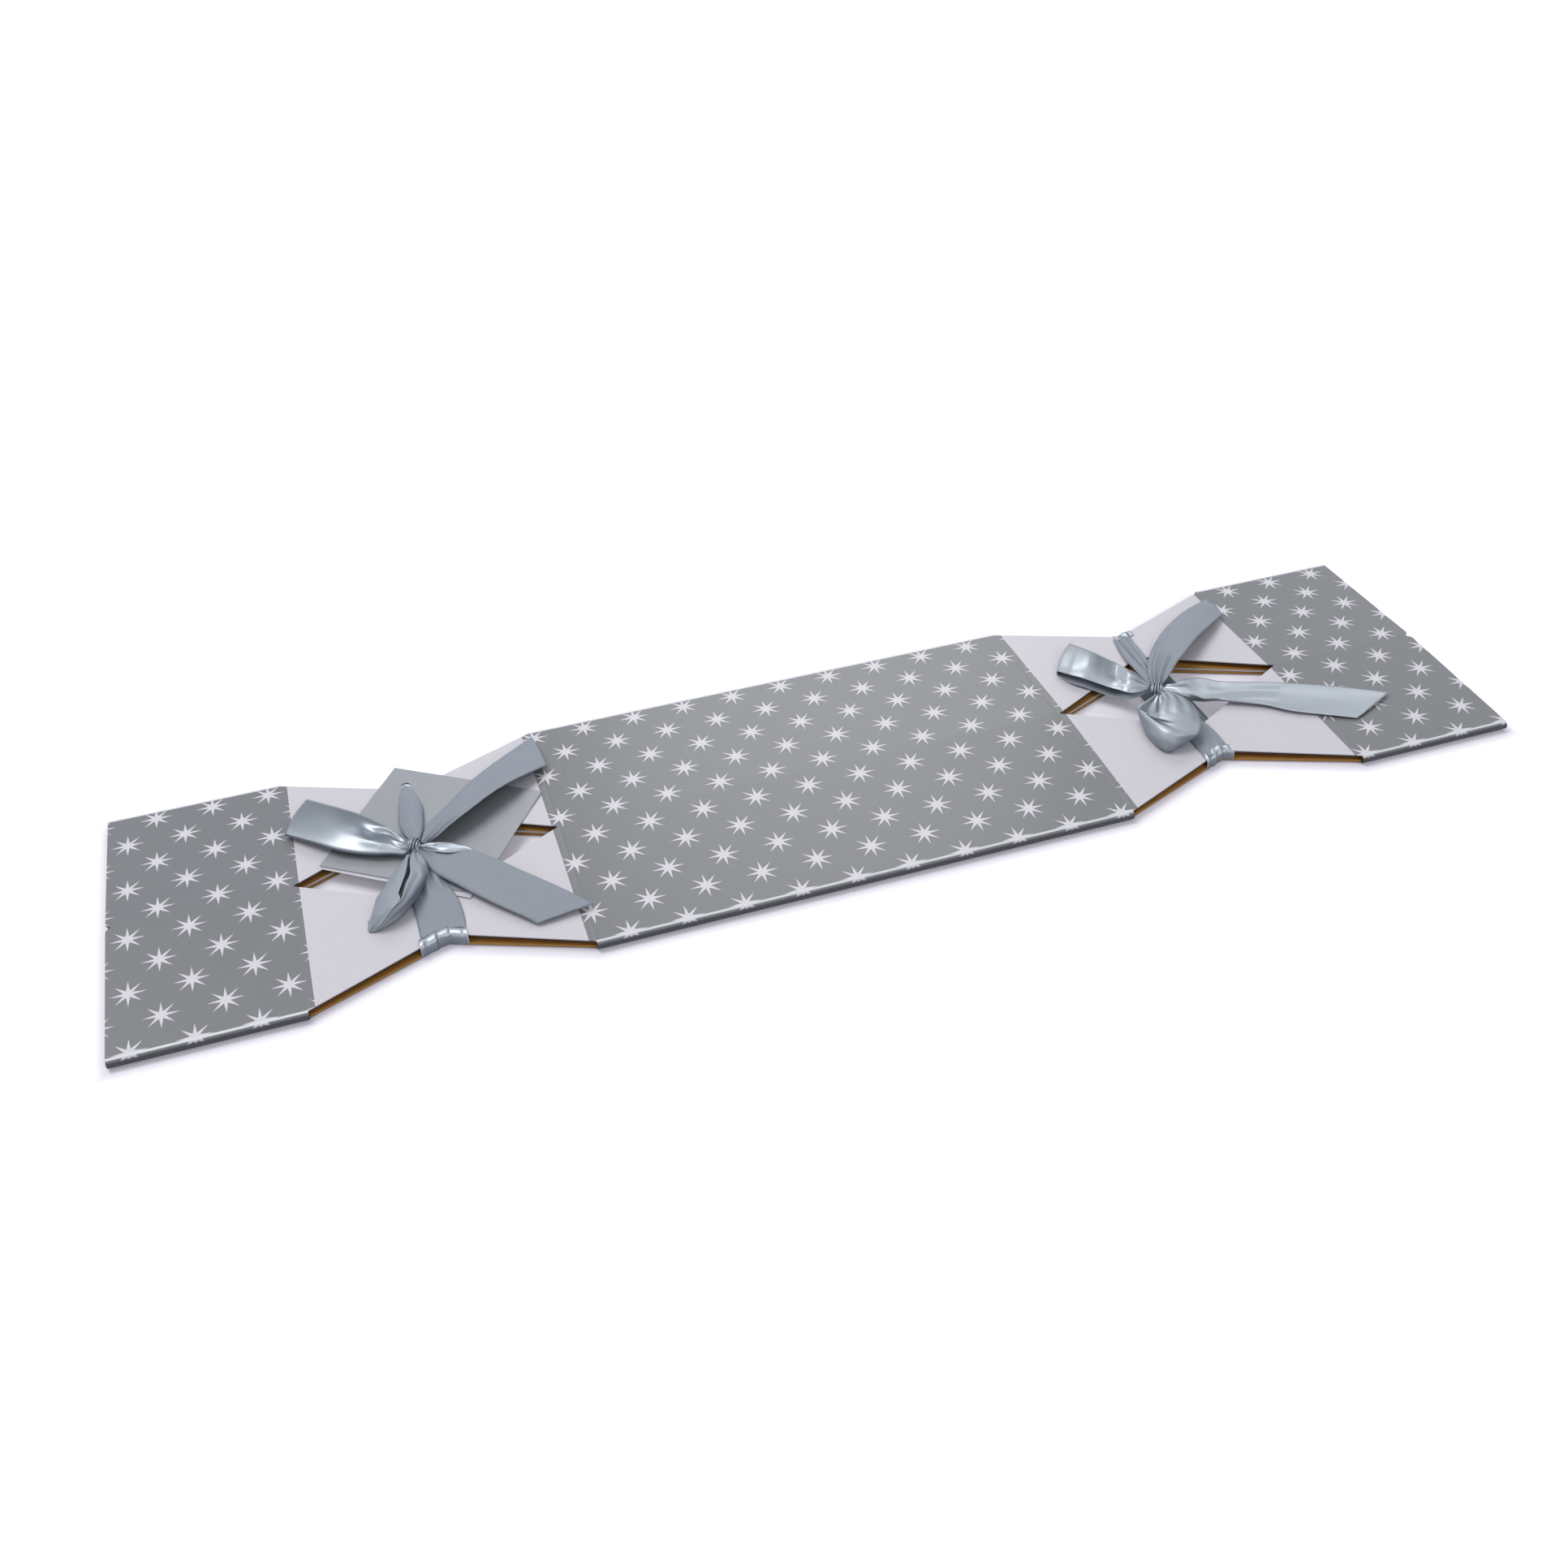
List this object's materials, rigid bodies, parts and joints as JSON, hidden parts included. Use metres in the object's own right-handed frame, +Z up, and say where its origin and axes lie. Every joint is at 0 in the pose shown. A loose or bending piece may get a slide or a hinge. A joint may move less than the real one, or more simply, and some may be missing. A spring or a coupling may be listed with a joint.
{
  "type": "christmas cracker",
  "caption": "Large cracker-shaped gift box of printed board, lying flat, with a satin bow tied round each neck and a folded gift tag.",
  "frame": {"origin": "centre of the flat box's outline, on the surface that it lies on", "axes": "+X along the cracker's length, to the right in the picture; +Y across it, away from the viewer; +Z up"},
  "size_m": [0.73, 0.181, 0.0349],
  "materials": {
    "brown_board": "raw brown board inside",
    "white_board": "smooth white facing",
    "star_print": "satin grey print with small pale stars",
    "satin_ribbon": "pale blue-grey satin",
    "tag_card": "silver grey card, white inside"
  },
  "bodies": {
    "floor_panel": {"floor_body_board": "brown_board", "floor_left_neck_board": "white_board", "floor_right_neck_board": "white_board", "floor_left_end_board": "brown_board", "floor_right_end_board": "brown_board", "floor_body_print": "star_print", "floor_left_end_print": "star_print", "floor_right_end_print": "star_print", "left_ribbon_floor": "satin_ribbon", "right_ribbon_floor": "satin_ribbon"},
    "front_panel": {"front_body_board": "brown_board", "front_left_neck_board": "white_board", "front_right_neck_board": "white_board", "front_left_end_board": "brown_board", "front_right_end_board": "brown_board", "front_body_print": "star_print", "front_left_end_print": "star_print", "front_right_end_print": "star_print", "left_ribbon_front": "satin_ribbon", "left_ribbon_near_wrap": "satin_ribbon", "right_ribbon_front": "satin_ribbon", "right_ribbon_near_wrap": "satin_ribbon"},
    "top_panel": {"top_body_board": "brown_board", "top_left_neck_board": "white_board", "top_right_neck_board": "white_board", "top_left_end_board": "brown_board", "top_right_end_board": "brown_board", "top_body_print": "star_print", "top_left_end_print": "star_print", "top_right_end_print": "star_print", "left_ribbon_top": "satin_ribbon", "left_ribbon_far_wrap": "satin_ribbon", "left_bow_knot": "satin_ribbon", "left_bow_side_loop": "satin_ribbon", "left_bow_low_loop": "satin_ribbon", "left_bow_upper_tail": "satin_ribbon", "left_bow_near_tail": "satin_ribbon", "right_ribbon_top": "satin_ribbon", "right_ribbon_far_wrap": "satin_ribbon", "right_bow_knot": "satin_ribbon", "right_bow_side_loop": "satin_ribbon", "right_bow_low_loop": "satin_ribbon", "right_bow_upper_tail": "satin_ribbon", "right_bow_near_tail": "satin_ribbon", "tag_back_leaf": "tag_card", "tag_front_leaf": "tag_card"},
    "back_panel": {"back_body_board": "brown_board", "back_left_neck_board": "white_board", "back_right_neck_board": "white_board", "back_left_end_board": "brown_board", "back_right_end_board": "brown_board", "back_body_print": "star_print", "back_left_end_print": "star_print", "back_right_end_print": "star_print", "left_ribbon_back": "satin_ribbon", "right_ribbon_back": "satin_ribbon"}
  },
  "joints": [
    {"name": "near_crease", "type": "hinge", "parent": "floor_panel", "child": "front_panel", "pos_m": [0, -0.088, 0.0029], "axis": [1, 0, 0], "range_deg": [0, 90]},
    {"name": "centre_crease", "type": "hinge", "parent": "front_panel", "child": "top_panel", "pos_m": [0, 0, 0.0039], "axis": [1, 0, 0], "range_deg": [-90, 0], "deforming": ["left_ribbon_front"]},
    {"name": "far_crease", "type": "hinge", "parent": "top_panel", "child": "back_panel", "pos_m": [0, 0.088, 0.0029], "axis": [1, 0, 0], "range_deg": [0, 90]}
  ],
  "couplings": [
    {"joint": "centre_crease", "follows": "near_crease", "ratio": -1},
    {"joint": "far_crease", "follows": "near_crease", "ratio": 1}
  ]
}
